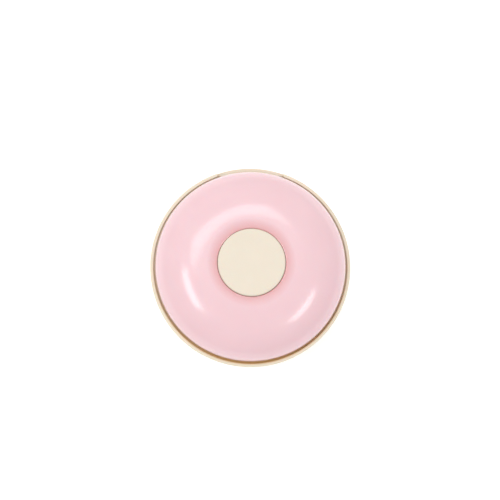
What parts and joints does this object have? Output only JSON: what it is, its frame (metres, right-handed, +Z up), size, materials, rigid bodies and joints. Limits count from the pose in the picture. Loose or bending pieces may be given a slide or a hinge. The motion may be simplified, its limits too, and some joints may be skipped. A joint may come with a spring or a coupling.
{
  "type": "pill splitter",
  "caption": "Round pocket pill splitter: ring-shaped hinged lid with a spring-return push button that drives a guarded blade onto a V-shaped pill block, with storage trays.",
  "frame": {"origin": "centre of the outline seen from above, at the height of the surface that the feet stand on", "axes": "+Z up out of the button's face; -Y is the front, where the magnetic catch is; +Y is the back, where the hinge is"},
  "size_m": [0.075, 0.075, 0.0309],
  "materials": {
    "base_cream": "moulded, satin",
    "button_cream": "fine matt texture",
    "lid_pink": "moulded, glossy",
    "ivory_abs": "moulded, satin",
    "natural_pom": "moulded, natural",
    "rose_tpe": "soft moulded rubber",
    "foot_rubber": "matt rubber",
    "blade_steel": "ground stainless steel",
    "spring_steel": "drawn wire",
    "zinc_screw": "zinc plated",
    "magnet_nickel": "nickel plated"
  },
  "bodies": {
    "base": {"base_shell": "base_cream", "foot_pad_1": "foot_rubber", "foot_pad_2": "foot_rubber", "foot_pad_3": "foot_rubber", "foot_pad_4": "foot_rubber", "storage_tray_right": "ivory_abs", "storage_tray_left": "ivory_abs", "pill_block": "ivory_abs", "grip_pad_right": "rose_tpe", "grip_pad_left": "rose_tpe", "anvil_strip": "natural_pom", "block_screw_1": "zinc_screw", "block_screw_2": "zinc_screw", "hinge_pin": "spring_steel", "base_magnet": "magnet_nickel"},
    "lid": {"lid_shell": "lid_pink", "lid_liner": "ivory_abs", "guard_cup": "ivory_abs", "lid_magnet": "magnet_nickel", "liner_screw_1": "zinc_screw", "liner_screw_2": "zinc_screw", "liner_screw_3": "zinc_screw", "liner_screw_4": "zinc_screw", "return_spring": "spring_steel"},
    "button": {"button_cap": "button_cream", "plunger": "natural_pom", "blade_clamp": "natural_pom", "blade": "blade_steel", "blade_screw_1": "zinc_screw", "blade_screw_2": "zinc_screw", "cap_screw_1": "zinc_screw", "cap_screw_2": "zinc_screw"}
  },
  "joints": [
    {"name": "lid_hinge", "type": "hinge", "parent": "base", "child": "lid", "pos_m": [0, 0.03225, 0.0189], "axis": [-1, 0, 0], "range_deg": [0, 85]},
    {"name": "button_press", "type": "slide", "parent": "lid", "child": "button", "axis": [0, 0, -1], "range_m": [0, 0.0076], "stiffness_N_per_m": 46, "springref_m": -0.012, "deforming": ["return_spring"]}
  ]
}
